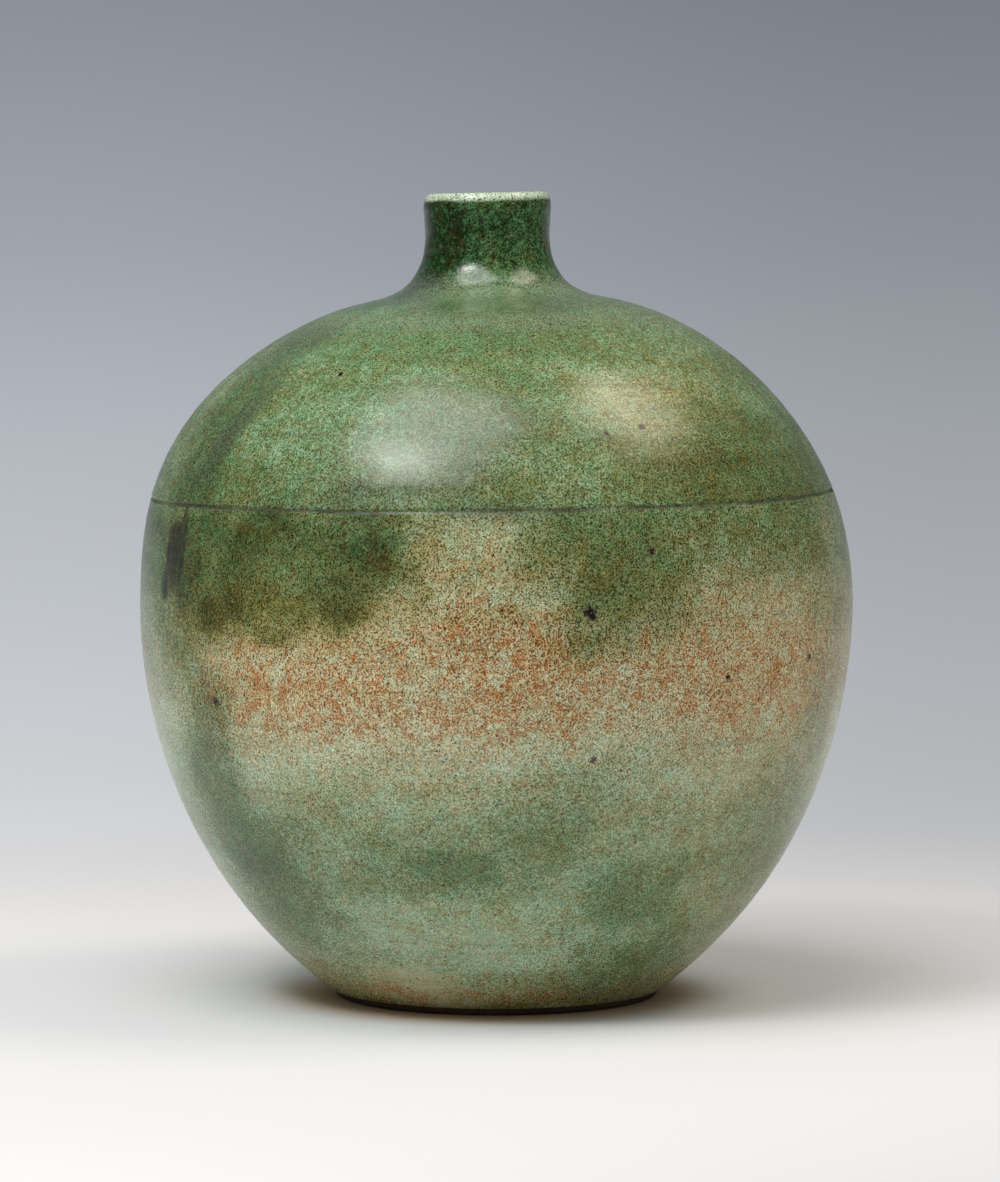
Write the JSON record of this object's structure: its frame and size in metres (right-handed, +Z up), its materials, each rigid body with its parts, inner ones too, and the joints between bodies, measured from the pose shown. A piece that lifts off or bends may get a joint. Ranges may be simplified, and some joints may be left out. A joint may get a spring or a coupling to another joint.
{
  "type": "ceramic vase",
  "caption": "Globular ceramic vase with a short collar neck, a luted shoulder seam, a low foot ring and a mottled green glaze; holds a stem or a small spray of flowers.",
  "frame": {"origin": "centre of the foot ring, on the plane that the vase stands on", "axes": "+Z up along the axis of the foot, -Y towards the viewer of the picture, +X to the viewer's right"},
  "size_m": [0.2132, 0.2132, 0.2403],
  "materials": {
    "green_glaze": "mottled copper-green glaze with iron specks, satin gloss",
    "thin_glaze": "thin pale green glaze, gloss",
    "bare_clay": "fired buff stoneware with grog, matt",
    "luting_slip": "fired slip, smooth and matt"
  },
  "bodies": {
    "root": {"foot_ring": "bare_clay", "foot_luting_slip": "luting_slip", "lower_bowl": "bare_clay", "shoulder_luting_slip": "luting_slip", "shoulder_dome": "bare_clay", "neck_luting_slip": "luting_slip", "neck_collar": "bare_clay", "outer_glaze": "green_glaze", "mouth_glaze": "thin_glaze", "base_glaze": "thin_glaze"}
  },
  "joints": []
}
